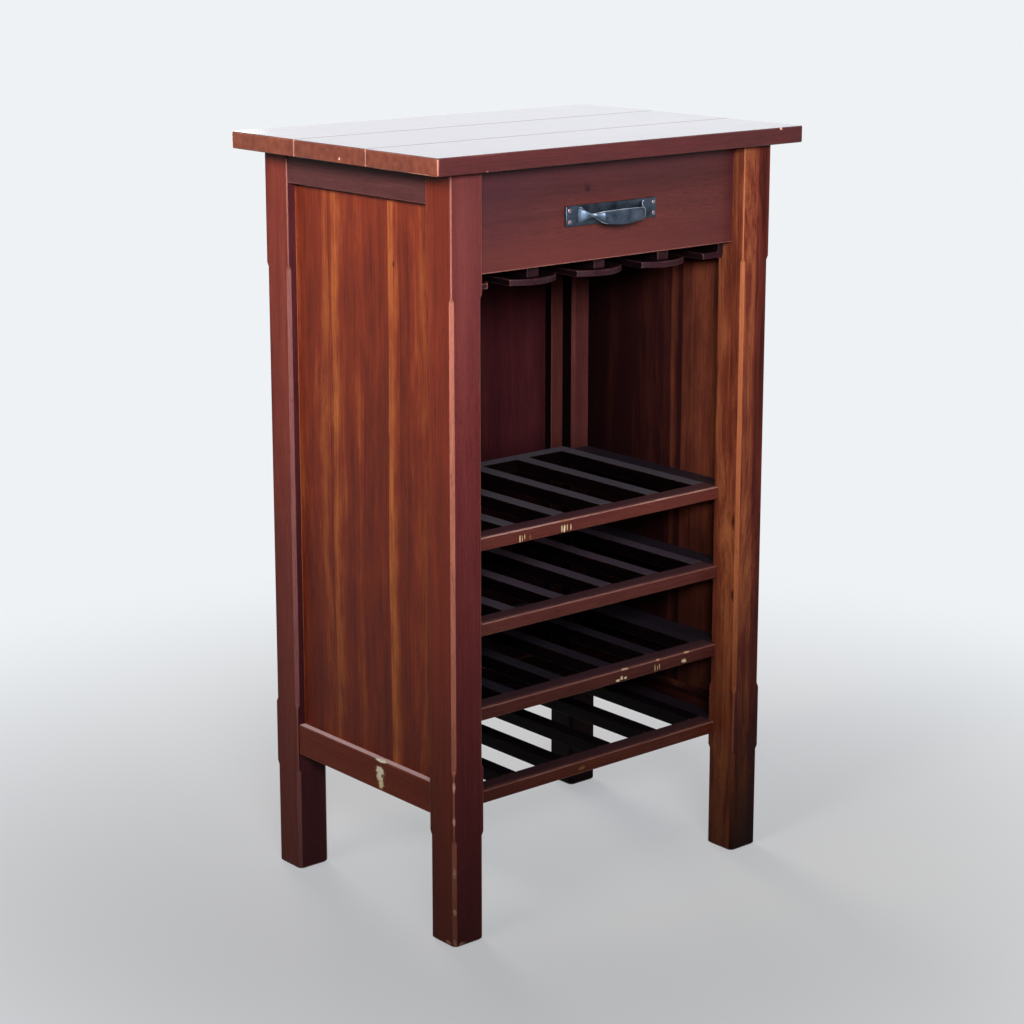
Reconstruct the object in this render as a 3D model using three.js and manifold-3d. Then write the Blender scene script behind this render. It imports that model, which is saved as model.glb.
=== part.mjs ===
// Wine cabinet in mahogany-stained solid wood: a three-board top on four chamfered legs, framed side and
// back panels, one drawer with a cast-iron pull, a stemware rack under it and four slatted bottle shelves.
// Millimetres. +X is the width, -Y the front and +Z up. The origin is on the floor under the top's middle.
import * as THREE from "three";
import { mergeVertices } from "three/addons/utils/BufferGeometryUtils.js";
import Module from "manifold-3d";

// Top
const topThickness = 20;
const topFrontOverhang = 20.5;
const topBackOverhang = 18.5;
const topSideOverhang = 33.75;
const topMiddleBoardShare = 0.348;
const topCornerRadius = 4;
const topEdgeRound = 1.6;
const topJointBevel = 1;

// Leg frame
const frameWidth = 494.5;
const frameDepth = 349;
const legHeight = 894;
const legSide = 44.5;
const legArris = 1.2;
const legChamfer = 4;
const legChamferRunOut = 5;
const chamferStartBelowTop = 136;
const chamferStopAboveRail = 20;
const chamferStartBelowRail = 19;
const footBevel = 2.5;

// Rails between the legs, with stub tenons
const railHeight = 38;
const railThickness = 18;
const railSetback = 2;
const bottomRailClearance = 152;
const tenonThickness = 8;
const tenonLength = 20;
const tenonShoulder = 9;

// Side panels and back panel, held in grooves
const sidePanelThickness = 6.5;
const sidePanelSetback = 11.5;
const backPanelThickness = 5;
const backPanelSetback = 6.5;
const panelGrooveDepth = 8;
const battenWidth = 20;
const battenThickness = 13;

// Drawer
const drawerFrontHeight = 115;
const drawerFrontThickness = 18;
const drawerTopGap = 2.5;
const drawerSideGap = 2;
const drawerRecess = 16;
const drawerWallThickness = 11;
const drawerBoxHeadroom = 5.8;
const drawerBoxInset = 6.25;
const drawerHousingDepth = 8;
const drawerBottomThickness = 5;
const drawerBottomLift = 8;
const drawerGrooveDepth = 5;
const drawerStopGap = 0.5;

// Runners and the bearers under them
const bearerWidth = 26;
const bearerThickness = 12;
const runnerLedgeThickness = 10;
const runnerLedgeReach = 13.5;
const runnerGuideHeight = 16;
const runnerGap = 0.3;
const guideGap = 1;

// Stemware rails
const stemRailCount = 5;
const stemRailSetback = 33;
const stemRackDrop = 3;
const stemSlotWidth = 31.6;
const stemFlangeThickness = 7.5;
const stemWebWidth = 17.5;
const stemWebHeight = 10;
const stemNoseBulge = 13;

// Bottle shelves
const shelfCount = 4;
const shelfPitch = 101.6;
const bottomShelfRise = 14;
const shelfThickness = 16;
const shelfSetback = 33;
const shelfStripThickness = 5;
const shelfRailWidth = 20;
const slatWidth = 20;
const slatCount = 6;
const tongueThickness = 6;
const tongueLength = 8;

// Pull of the drawer: a back plate and a bowed grip in one casting
const pullCentreRise = 54;
const plateLength = 140;
const plateHeight = 23.5;
const plateThickness = 3.5;
const plateEdgeEase = 0.5;
const footReach = 54;
const footRoot = 47;
const footHeight = 21;
const neckReach = 38;
const neckHeight = 5;
const neckStandOff = 17;
const gripReach = 31.5;
const gripEndRise = 5;
const gripEndDrop = 8.5;
const gripMiddleRise = 6.2;
const gripMiddleDrop = 12.2;
const gripEndStandOff = 27;
const gripStandOff = 29;
const strapThickness = 5;

// Round-head screws of the pull
const screwSpacing = 130;
const screwRowSpacing = 13;
const screwHeadRadius = 2.9;
const screwHeadHeight = 1.5;
const screwShankRadius = 1.5;
const screwShankLength = 14;

// Fits, cuts and edges
const fitGap = 0.2;
const cutOverrun = 2;
const edgeEase = 0.8;
const stripEase = 1.2;
const mergeTolerance = 0.001;
const curveSteps = 8;
const cornerSteps = 3;
const roundSides = 12;

// Places that the sizes above give
const topWidth = frameWidth + 2 * topSideOverhang;
const topDepth = frameDepth + topFrontOverhang + topBackOverhang;
const frameFront = -topDepth / 2 + topFrontOverhang;
const frameBack = frameFront + frameDepth;
const frameHalf = frameWidth / 2;
const legInnerX = frameHalf - legSide;
const frontLegBack = frameFront + legSide;
const rearLegFront = frameBack - legSide;
const frameTop = legHeight - fitGap;
const bottomRailTop = bottomRailClearance + railHeight;
const topRailBottom = frameTop - railHeight;
const sidePanelInner = sidePanelSetback + sidePanelThickness;
const railInner = railSetback + railThickness;
const backPanelFront = frameBack - backPanelSetback - backPanelThickness;
const battenFront = backPanelFront - fitGap - battenThickness;
const drawerFace = frameFront + drawerRecess;
const drawerFrontBottom = legHeight - drawerTopGap - drawerFrontHeight;
const rackTop = drawerFrontBottom - stemRackDrop;
const bearerBottom = rackTop + fitGap;
const runnerBottom = bearerBottom + bearerThickness + fitGap;
const ledgeTop = runnerBottom + runnerLedgeThickness;
const drawerBoxRise = ledgeTop + runnerGap - drawerFrontBottom;
const drawerBoxHeight = legHeight - drawerBoxHeadroom - ledgeTop - runnerGap;
const drawerBoxHalf = legInnerX - drawerBoxInset;
const stemRailPitch = (2 * legInnerX) / (stemRailCount - 1);

const wasm = await Module();
wasm.setup();

// Closed geometry to a solid that can be cut and joined
function solid(geometry) {
  const loose = geometry.index ? geometry.toNonIndexed() : geometry;
  const bare = new THREE.BufferGeometry();
  bare.setAttribute("position", loose.getAttribute("position"));
  const merged = mergeVertices(bare, mergeTolerance);
  const mesh = new wasm.Mesh({
    numProp: 3,
    vertProperties: merged.getAttribute("position").array,
    triVerts: new Uint32Array(merged.index.array),
  });
  return new wasm.Manifold(mesh);
}

// Solid back to a geometry with flat faces
function geometryOf(shape) {
  const { vertProperties, triVerts } = shape.getMesh();
  const geometry = new THREE.BufferGeometry();
  geometry.setAttribute("position", new THREE.BufferAttribute(vertProperties, 3));
  geometry.setIndex(new THREE.BufferAttribute(triVerts, 1));
  const flat = geometry.toNonIndexed();
  flat.computeVertexNormals();
  return flat;
}

// One named piece of a group, modelled in the group's frame and hung at its own origin
function addPiece(group, name, shape, material, origin = new THREE.Vector3()) {
  const geometry = geometryOf(shape).translate(-origin.x, -origin.y, -origin.z);
  const mesh = new THREE.Mesh(geometry, material);
  mesh.name = name;
  mesh.position.copy(origin);
  group.add(mesh);
}

// Sharp-edged block between the low and high values of x, y and z
function block({ x, y, z }) {
  const geometry = new THREE.BoxGeometry(x[1] - x[0], y[1] - y[0], z[1] - z[0]);
  geometry.translate((x[0] + x[1]) / 2, (y[0] + y[1]) / 2, (z[0] + z[1]) / 2);
  return solid(geometry);
}

// Rectangle with its corners cut by one small flat
function easedRectangle(width, depth, ease) {
  const x = width / 2;
  const y = depth / 2;
  const outline = new THREE.Shape();
  outline.moveTo(-x + ease, -y);
  outline.lineTo(x - ease, -y);
  outline.lineTo(x, -y + ease);
  outline.lineTo(x, y - ease);
  outline.lineTo(x - ease, y);
  outline.lineTo(-x + ease, y);
  outline.lineTo(-x, y - ease);
  outline.lineTo(-x, -y + ease);
  outline.closePath();
  return outline;
}

// Outline extruded upwards from zero, with both ends eased inside its full height
function easedExtrusion(outline, height, ease, segments = 1) {
  const geometry = new THREE.ExtrudeGeometry(outline, {
    depth: height - 2 * ease,
    bevelEnabled: true,
    bevelThickness: ease,
    bevelSize: ease,
    bevelOffset: -ease,
    bevelSegments: segments,
    curveSegments: curveSteps,
  });
  geometry.translate(0, 0, ease);
  return geometry;
}

// Board with every arris eased, between the low and high values of x, y and z
function board({ x, y, z }, ease = edgeEase) {
  const outline = easedRectangle(x[1] - x[0], y[1] - y[0], ease);
  const geometry = easedExtrusion(outline, z[1] - z[0], ease);
  geometry.translate((x[0] + x[1]) / 2, (y[0] + y[1]) / 2, z[0]);
  return solid(geometry);
}

// Outline of points extruded with square ends, from zero along +Z
function extrusion(outline, length) {
  return new THREE.ExtrudeGeometry(outline, {
    depth: length,
    bevelEnabled: false,
    curveSegments: curveSteps,
  });
}

// The same block grown by the fit gap on every side, to cut a mortise, housing or groove
function socket({ x, y, z }) {
  const grow = ([low, high]) => [low - fitGap, high + fitGap];
  return block({ x: grow(x), y: grow(y), z: grow(z) });
}

// Mahogany-stained solid wood under a satin lacquer
function stainedWood(colour = 0x6b2c1c) {
  return new THREE.MeshStandardMaterial({ color: colour, roughness: 0.42, metalness: 0 });
}

// Plain unstained wood of the drawer box and its runners
function plainWood() {
  return new THREE.MeshStandardMaterial({ color: 0xb08457, roughness: 0.7, metalness: 0 });
}

// Blackened cast iron of the pull
function blackIron() {
  return new THREE.MeshStandardMaterial({ color: 0x2c333b, roughness: 0.45, metalness: 0.85 });
}

// Steel screws with a worn copper wash
function wornCopper() {
  return new THREE.MeshStandardMaterial({ color: 0x8c6a5e, roughness: 0.5, metalness: 0.9 });
}

// Top: three boards glued edge to edge, with rounded outer corners and a fine V along each joint
function buildTop(group) {
  const x = topWidth / 2 - topCornerRadius;
  const y = topDepth / 2 - topCornerRadius;
  const outline = new THREE.Shape();
  const corners = [[x, y, 0], [-x, y, 1], [-x, -y, 2], [x, -y, 3]];
  corners.forEach(([cx, cy, turn]) => {
    for (let i = 0; i <= cornerSteps; i += 1) {
      const angle = (turn + i / cornerSteps) * (Math.PI / 2);
      const px = cx + topCornerRadius * Math.cos(angle);
      const py = cy + topCornerRadius * Math.sin(angle);
      if (turn === 0 && i === 0) outline.moveTo(px, py);
      else outline.lineTo(px, py);
    }
  });
  outline.closePath();
  const slab = solid(easedExtrusion(outline, topThickness, topEdgeRound, 2));

  const jointHalf = (topMiddleBoardShare * topDepth) / 2;
  const outer = topDepth / 2 + cutOverrun;
  const boards = {
    top_board_front: [-outer, -jointHalf - fitGap / 2],
    top_board_middle: [-jointHalf + fitGap / 2, jointHalf - fitGap / 2],
    top_board_rear: [jointHalf + fitGap / 2, outer],
  };
  Object.entries(boards).forEach(([name, [front, rear]]) => {
    const section = new THREE.Shape();
    section.moveTo(front, -cutOverrun);
    section.lineTo(rear, -cutOverrun);
    section.lineTo(rear, topThickness - topJointBevel);
    section.lineTo(rear - topJointBevel, topThickness);
    section.lineTo(rear - topJointBevel, topThickness + cutOverrun);
    section.lineTo(front + topJointBevel, topThickness + cutOverrun);
    section.lineTo(front + topJointBevel, topThickness);
    section.lineTo(front, topThickness - topJointBevel);
    section.closePath();
    const strip = extrusion(section, topWidth + 2 * cutOverrun);
    const alongX = new THREE.Matrix4().makeBasis(
      new THREE.Vector3(0, 1, 0),
      new THREE.Vector3(0, 0, 1),
      new THREE.Vector3(1, 0, 0),
    );
    strip.applyMatrix4(alongX).translate(-topWidth / 2 - cutOverrun, 0, 0);
    addPiece(group, name, slab.intersect(solid(strip)), stainedWood());
  });
}

// Cutter for one stopped chamfer on a leg's corner: its ends slope out to a point on the corner
function chamferCutter(low, high, quarterTurn) {
  const corner = legSide / Math.SQRT2;
  const inner = corner - legChamfer / Math.SQRT2;
  const outer = corner + cutOverrun;
  const slope = legChamferRunOut / (corner - inner);
  const flare = slope * cutOverrun;
  const section = new THREE.Shape();
  section.moveTo(inner, low + legChamferRunOut);
  section.lineTo(outer, low - flare);
  section.lineTo(outer, high + flare);
  section.lineTo(inner, high - legChamferRunOut);
  section.closePath();
  const cutter = extrusion(section, 2 * legChamfer).translate(0, 0, -legChamfer);
  cutter.rotateX(Math.PI / 2).rotateZ((quarterTurn + 1 / 2) * (Math.PI / 2));
  return solid(cutter);
}

// Cutter for the bevel along one edge of a foot
function footCutter(quarterTurn) {
  const face = legSide / 2;
  const section = new THREE.Shape();
  section.moveTo(face - footBevel - cutOverrun, -cutOverrun);
  section.lineTo(face + cutOverrun, -cutOverrun);
  section.lineTo(face + cutOverrun, footBevel + cutOverrun);
  section.closePath();
  const cutter = extrusion(section, legSide + 2 * cutOverrun);
  cutter.translate(0, 0, -legSide / 2 - cutOverrun);
  cutter.rotateX(Math.PI / 2).rotateZ(quarterTurn * (Math.PI / 2));
  return solid(cutter);
}

// Leg: square stock, chamfered between the drawer and the bottom rail and again down to the foot
function legShape() {
  const stock = extrusion(easedRectangle(legSide, legSide, legArris), frameTop);
  let leg = solid(stock);
  const upperTop = legHeight - chamferStartBelowTop;
  const upperBottom = bottomRailTop + chamferStopAboveRail;
  const lowerTop = bottomRailClearance - chamferStartBelowRail;
  const lowerBottom = -legChamferRunOut - cutOverrun;
  [0, 1, 2, 3].forEach((quarterTurn) => {
    leg = leg.subtract(chamferCutter(upperBottom, upperTop, quarterTurn));
    leg = leg.subtract(chamferCutter(lowerBottom, lowerTop, quarterTurn));
    leg = leg.subtract(footCutter(quarterTurn));
  });
  return leg;
}

// Heights of a rail's tenon above the floor, from the rail's bottom edge
function tenonHeights(railBottom) {
  return [railBottom + tenonShoulder, railBottom + railHeight - tenonShoulder];
}

// Distance of a tenon's two cheeks from the legs' outer face
const tenonOuter = railSetback + (railThickness - tenonThickness) / 2;
const tenonCheeks = [tenonOuter, tenonOuter + tenonThickness];
const railBottoms = { bottom: bottomRailClearance, top: topRailBottom };
const panelHeights = [
  bottomRailTop - panelGrooveDepth + fitGap,
  topRailBottom + panelGrooveDepth - fitGap,
];

// One side frame: two legs, two rails and a panel. Here x runs inwards from the legs' outer face.
function buildSideFrame(group, side) {
  const railSpan = [frontLegBack + fitGap, rearLegFront - fitGap];
  const tenonSpan = [frontLegBack - tenonLength, rearLegFront + tenonLength];
  const panelReach = panelGrooveDepth - fitGap;
  const panel = {
    x: [sidePanelSetback, sidePanelInner],
    y: [frontLegBack - panelReach, rearLegFront + panelReach],
    z: panelHeights,
  };
  const tenons = Object.values(railBottoms).map((bottom) => ({
    x: tenonCheeks,
    y: tenonSpan,
    z: tenonHeights(bottom),
  }));

  const legCentres = { front: frontLegBack - legSide / 2, rear: rearLegFront + legSide / 2 };
  Object.entries(legCentres).forEach(([end, y]) => {
    const origin = new THREE.Vector3(legSide / 2, y, 0);
    let leg = legShape().translate([origin.x, origin.y, origin.z]);
    tenons.forEach((tenon) => {
      leg = leg.subtract(socket(tenon));
    });
    leg = leg.subtract(socket(panel));
    if (end === "rear") leg = cutForBack(leg);
    addPiece(group, `leg_${end}_${side}`, leg, stainedWood(), origin);
  });

  Object.entries(railBottoms).forEach(([place, bottom], index) => {
    const span = {
      x: [railSetback, railInner],
      y: railSpan,
      z: [bottom, bottom + railHeight],
    };
    const rail = board(span).add(block(tenons[index])).subtract(socket(panel));
    const origin = new THREE.Vector3(railSetback, 0, bottom);
    addPiece(group, `side_rail_${place}_${side}`, rail, stainedWood(), origin);
  });

  const panelOrigin = new THREE.Vector3(sidePanelSetback, 0, bottomRailTop);
  addPiece(group, `side_panel_${side}`, board(panel), stainedWood(0x7a3620), panelOrigin);
}

// Rear rails' tenons and the back panel's edge, here with x across the cabinet
const backTenonDepths = [frameBack - tenonCheeks[1], frameBack - tenonCheeks[0]];
const backPanelHalf = legInnerX + panelGrooveDepth - fitGap;
const backPanelSpan = {
  x: [-backPanelHalf, backPanelHalf],
  y: [backPanelFront, backPanelFront + backPanelThickness],
  z: panelHeights,
};

// Mortises and groove of a rear leg for the back, in the side frame's measure of x
function cutForBack(leg) {
  let cut = leg;
  Object.values(railBottoms).forEach((bottom) => {
    const mortise = {
      x: [legSide - tenonLength, legSide + cutOverrun],
      y: backTenonDepths,
      z: tenonHeights(bottom),
    };
    cut = cut.subtract(socket(mortise));
  });
  const groove = { ...backPanelSpan, x: [frameHalf - backPanelHalf, legSide + cutOverrun] };
  return cut.subtract(socket(groove));
}

// Back: two rails and a panel between the rear legs, and an upright batten beside each leg
function buildBack(group) {
  Object.entries(railBottoms).forEach(([place, bottom]) => {
    const railHalf = legInnerX - fitGap;
    const span = {
      x: [-railHalf, railHalf],
      y: [frameBack - railInner, frameBack - railSetback],
      z: [bottom, bottom + railHeight],
    };
    const tenon = {
      x: [-legInnerX - tenonLength, legInnerX + tenonLength],
      y: backTenonDepths,
      z: tenonHeights(bottom),
    };
    const rail = board(span).add(block(tenon)).subtract(socket(backPanelSpan));
    const origin = new THREE.Vector3(0, frameBack - railSetback, bottom);
    addPiece(group, `back_rail_${place}`, rail, stainedWood(), origin);
  });

  const panelOrigin = new THREE.Vector3(0, backPanelFront, bottomRailTop);
  addPiece(group, "back_panel", board(backPanelSpan), stainedWood(0x5c2618), panelOrigin);

  ["left", "right"].forEach((side) => {
    const inner = legInnerX - fitGap;
    const reach = side === "left" ? [-inner, -inner + battenWidth] : [inner - battenWidth, inner];
    const batten = board({
      x: reach,
      y: [battenFront, battenFront + battenThickness],
      z: [bottomRailTop + fitGap, topRailBottom - fitGap],
    });
    const origin = new THREE.Vector3(reach[0], battenFront, bottomRailTop);
    addPiece(group, `back_batten_${side}`, batten, stainedWood(), origin);
  });
}

// Runner on one side: an L section whose ledge carries the drawer and whose guide keeps it straight.
// It sits in the pocket between the legs, against the side panel. Here x runs inwards as in the frame.
function buildRunner(group, side) {
  const outer = sidePanelInner + fitGap;
  const guide = frameHalf - drawerBoxHalf - guideGap;
  const reach = frameHalf - drawerBoxHalf + runnerLedgeReach;
  const section = new THREE.Shape();
  section.moveTo(outer, 0);
  section.lineTo(reach, 0);
  section.lineTo(reach, runnerLedgeThickness);
  section.lineTo(guide, runnerLedgeThickness);
  section.lineTo(guide, runnerLedgeThickness + runnerGuideHeight);
  section.lineTo(outer, runnerLedgeThickness + runnerGuideHeight);
  section.closePath();
  const length = rearLegFront - frontLegBack - 2 * fitGap;
  const runner = extrusion(section, length).rotateX(Math.PI / 2);
  runner.translate(0, rearLegFront - fitGap, runnerBottom);
  const origin = new THREE.Vector3(outer, 0, runnerBottom);
  addPiece(group, `drawer_runner_${side}`, solid(runner), plainWood(), origin);
}

// Bearers: two cross boards in the pockets behind the front legs and before the rear legs
function buildBearers(group) {
  const half = frameHalf - sidePanelInner - fitGap;
  const places = {
    front: [frontLegBack + fitGap, frontLegBack + fitGap + bearerWidth],
    rear: [rearLegFront - fitGap - bearerWidth, rearLegFront - fitGap],
  };
  Object.entries(places).forEach(([end, depths]) => {
    const height = [bearerBottom, bearerBottom + bearerThickness];
    const bearer = board({ x: [-half, half], y: depths, z: height });
    const origin = new THREE.Vector3(0, depths[0], bearerBottom);
    addPiece(group, `rack_bearer_${end}`, bearer, stainedWood(), origin);
  });
}

// Stemware rails hung under the bearers: a T section with a bowed nose. The outer two are centred on the
// legs' inner faces, so they are halves, and their noses are square. A glass's foot slides in over the
// flanges, its stem between them.
function buildStemRack(group) {
  const front = frameFront + stemRailSetback;
  const length = battenFront - fitGap - front;
  const flangeBottom = rackTop - stemWebHeight - stemFlangeThickness;
  const half = (stemRailPitch - stemSlotWidth) / 2;
  const web = board({
    x: [-stemWebWidth / 2, stemWebWidth / 2],
    y: [0, length],
    z: [edgeEase, stemFlangeThickness + stemWebHeight],
  });
  const opening = block({
    x: [-legInnerX + fitGap, legInnerX - fitGap],
    y: [front - 2 * stemNoseBulge, battenFront],
    z: [flangeBottom - cutOverrun, rackTop + cutOverrun],
  });
  for (let i = 0; i < stemRailCount; i += 1) {
    const atSide = i === 0 || i === stemRailCount - 1;
    const outline = new THREE.Shape();
    outline.moveTo(-half, 0);
    if (atSide) {
      outline.lineTo(half, 0);
    } else {
      outline.quadraticCurveTo(0, -2 * stemNoseBulge, half, 0);
    }
    outline.lineTo(half, length);
    outline.lineTo(-half, length);
    outline.closePath();
    const flange = solid(easedExtrusion(outline, stemFlangeThickness, edgeEase));
    const x = (i - (stemRailCount - 1) / 2) * stemRailPitch;
    const origin = new THREE.Vector3(x, front, flangeBottom);
    const placed = flange.add(web).translate([origin.x, origin.y, origin.z]).intersect(opening);
    addPiece(group, `stem_rail_${i + 1}`, placed, stainedWood(0x4a2018), origin);
  }
}

// One shelf: a comb of rear rail and slats, tongued into a front rail that a thin strip faces.
// Its group's origin is on the shelf's top face, at the front of the strip.
function buildShelf(group, number, top) {
  const shelf = new THREE.Group();
  const front = frameFront + shelfSetback;
  shelf.position.set(0, front, top);
  group.add(shelf);

  const half = legInnerX - fitGap;
  const rear = battenFront - fitGap - front;
  const heights = [-shelfThickness, 0];
  const railFront = shelfStripThickness + fitGap;
  const railBack = railFront + shelfRailWidth;
  const combFront = railBack + fitGap;
  const tongueHeights = [
    -(shelfThickness + tongueThickness) / 2,
    -(shelfThickness - tongueThickness) / 2,
  ];

  const strip = board({ x: [-half, half], y: [0, shelfStripThickness], z: heights }, stripEase);
  addPiece(shelf, `shelf_${number}_front_strip`, strip, stainedWood());

  const groove = {
    x: [-half - cutOverrun, half + cutOverrun],
    y: [railBack - tongueLength, railBack + cutOverrun],
    z: tongueHeights,
  };
  const rail = board({ x: [-half, half], y: [railFront, railBack], z: heights });
  const railOrigin = new THREE.Vector3(0, railFront, 0);
  addPiece(shelf, `shelf_${number}_front_rail`, rail.subtract(socket(groove)), stainedWood(), railOrigin);

  const bay = (2 * half - slatCount * slatWidth) / (slatCount - 1);
  const outline = new THREE.Shape();
  const slatLefts = [];
  outline.moveTo(-half, rear);
  for (let i = 0; i < slatCount; i += 1) {
    const left = -half + i * (slatWidth + bay);
    slatLefts.push(left);
    if (i > 0) outline.lineTo(left, rear - shelfRailWidth);
    outline.lineTo(left, combFront);
    outline.lineTo(left + slatWidth, combFront);
    if (i < slatCount - 1) outline.lineTo(left + slatWidth, rear - shelfRailWidth);
  }
  outline.lineTo(half, rear);
  outline.closePath();
  const combExtrusion = easedExtrusion(outline, shelfThickness, edgeEase);
  let comb = solid(combExtrusion.translate(0, 0, -shelfThickness));
  slatLefts.forEach((left) => {
    const tongue = {
      x: [left + edgeEase, left + slatWidth - edgeEase],
      y: [combFront + fitGap - tongueLength, combFront + cutOverrun],
      z: tongueHeights,
    };
    comb = comb.add(block(tongue));
  });
  const combOrigin = new THREE.Vector3(0, rear, 0);
  addPiece(shelf, `shelf_${number}_slats`, comb, stainedWood(0x5a2519), combOrigin);
}

// Cleat that fills the pocket between one end of a shelf and the side panel, flush with the shelf's top.
// The lowest one lies against the bottom rail, which is thicker than the panel.
function buildCleat(group, number, top, side) {
  const bottom = top - shelfThickness;
  const backing = bottom < bottomRailTop ? Math.max(railInner, sidePanelInner) : sidePanelInner;
  const cleat = board({
    x: [backing + fitGap, legSide],
    y: [frontLegBack + fitGap, rearLegFront - fitGap],
    z: [bottom, top],
  });
  const origin = new THREE.Vector3(backing, 0, bottom);
  addPiece(group, `shelf_${number}_cleat_${side}`, cleat, stainedWood(), origin);
}

// Drawer: the front takes the box sides in stopped housings, and the bottom lies in grooves.
// Its group's origin is on the front's face, at the middle of its bottom edge.
function buildDrawer(group) {
  const drawer = new THREE.Group();
  drawer.position.set(0, drawerFace, drawerFrontBottom);
  group.add(drawer);

  const boxEnd = battenFront - drawerStopGap - drawerFace;
  const boxHeights = [drawerBoxRise, drawerBoxRise + drawerBoxHeight];
  const wallInner = drawerBoxHalf - drawerWallThickness;
  const housingStart = drawerFrontThickness - drawerHousingDepth;
  const bottomReach = drawerGrooveDepth - fitGap;
  const bottomRise = drawerBoxRise + drawerBottomLift;
  const bottomSpan = {
    x: [-wallInner - bottomReach, wallInner + bottomReach],
    y: [drawerFrontThickness - bottomReach, boxEnd],
    z: [bottomRise, bottomRise + drawerBottomThickness],
  };
  const bottomGroove = { ...bottomSpan, y: [bottomSpan.y[0], boxEnd + cutOverrun] };
  const sideSpan = {
    x: [wallInner, drawerBoxHalf],
    y: [housingStart + fitGap, boxEnd],
    z: boxHeights,
  };

  const frontHalf = legInnerX - drawerSideGap;
  const frontSpan = {
    x: [-frontHalf, frontHalf],
    y: [0, drawerFrontThickness],
    z: [0, drawerFrontHeight],
  };
  let front = board(frontSpan, stripEase).subtract(socket(bottomGroove));
  [-1, 1].forEach((side) => {
    const edges = sideSpan.x.map((edge) => side * edge).sort((a, b) => a - b);
    front = front.subtract(socket({ ...sideSpan, x: edges }));
  });
  screwPlaces().forEach(([x, z]) => {
    front = front.subtract(screwHole(x, z));
  });
  addPiece(drawer, "drawer_front", front, stainedWood());

  Object.entries({ left: -1, right: 1 }).forEach(([name, side]) => {
    const edges = sideSpan.x.map((edge) => side * edge).sort((a, b) => a - b);
    const wall = board({ ...sideSpan, x: edges }).subtract(socket(bottomGroove));
    const origin = new THREE.Vector3(edges[0], drawerFrontThickness, drawerBoxRise);
    addPiece(drawer, `drawer_side_${name}`, wall, plainWood(), origin);
  });

  const back = board({
    x: [-wallInner + fitGap, wallInner - fitGap],
    y: [boxEnd - drawerWallThickness, boxEnd],
    z: [bottomSpan.z[1] + fitGap, boxHeights[1]],
  });
  const backOrigin = new THREE.Vector3(0, boxEnd, drawerBoxRise);
  addPiece(drawer, "drawer_back", back, plainWood(), backOrigin);
  const bottomOrigin = new THREE.Vector3(0, drawerFrontThickness, bottomRise);
  addPiece(drawer, "drawer_bottom", board(bottomSpan), plainWood(), bottomOrigin);

  buildPull(drawer);
}

// Centres of the pull's screws on the drawer front
function screwPlaces() {
  const x = screwSpacing / 2;
  const z = screwRowSpacing / 2;
  return [[-x, z], [-x, -z], [x, z], [x, -z]].map(([px, pz]) => [px, pullCentreRise + pz]);
}

// Clearance hole for one screw, square to the drawer front
function screwHole(x, z) {
  const radius = screwShankRadius + fitGap;
  const length = screwShankLength + plateThickness + cutOverrun;
  const hole = new THREE.CylinderGeometry(radius, radius, length, roundSides);
  const depth = screwShankLength + fitGap - length / 2;
  return solid(hole.translate(x, depth - plateThickness, z));
}

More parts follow.
